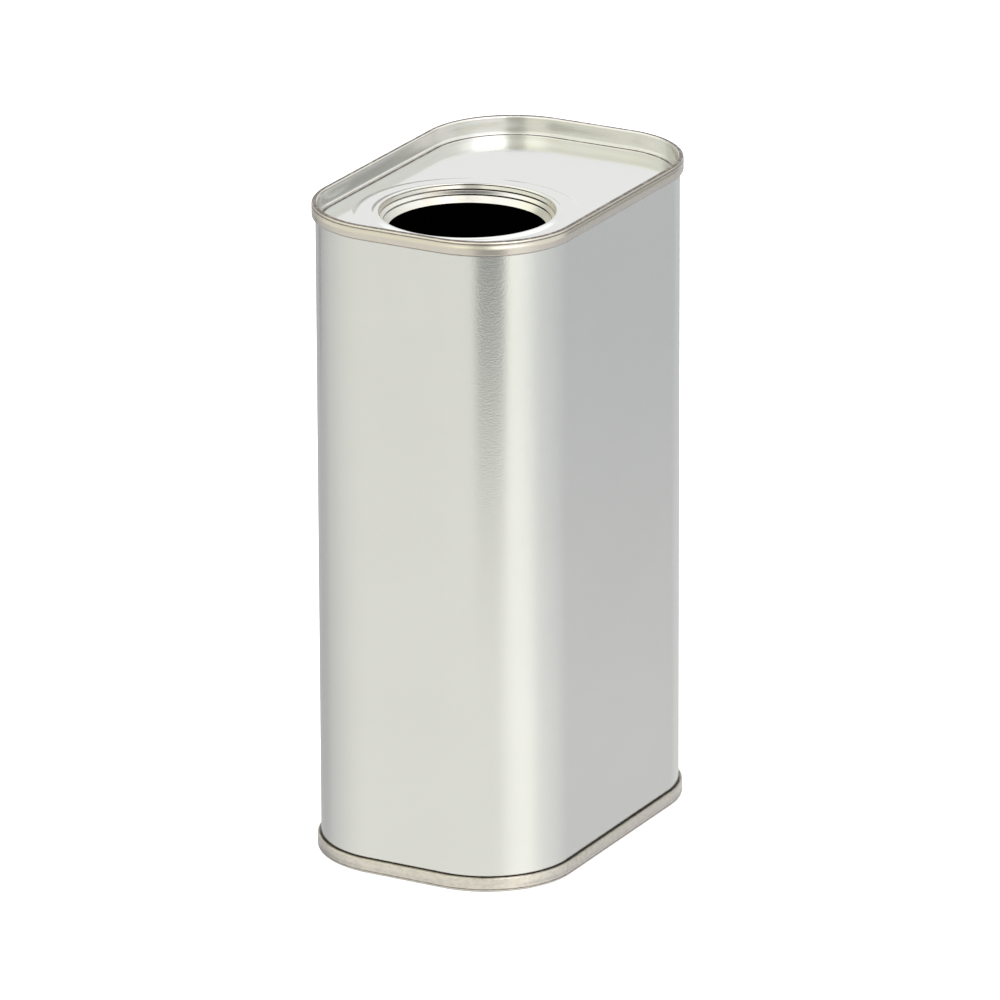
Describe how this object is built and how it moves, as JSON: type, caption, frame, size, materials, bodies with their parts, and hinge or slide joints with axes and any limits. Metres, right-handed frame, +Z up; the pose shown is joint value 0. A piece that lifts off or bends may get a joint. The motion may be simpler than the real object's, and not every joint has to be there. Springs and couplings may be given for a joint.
{
  "type": "rectangular tin can",
  "caption": "Upright tin can of rounded rectangular plan with seamed ends, a sunken lid panel and an open round neck near the front.",
  "frame": {"origin": "centre of the foot, on the plane of the bottom seam's crown", "axes": "+Z up the can, +Y towards the back, +X to the right; the neck is on the -Y side"},
  "size_m": [0.0556, 0.081, 0.136],
  "materials": {
    "body_tinplate": "satin tinplate with a fine grain",
    "end_tinplate": "bright tinplate"
  },
  "bodies": {
    "root": {"can_body": "body_tinplate", "top_end": "end_tinplate", "bottom_end": "end_tinplate"}
  },
  "joints": []
}
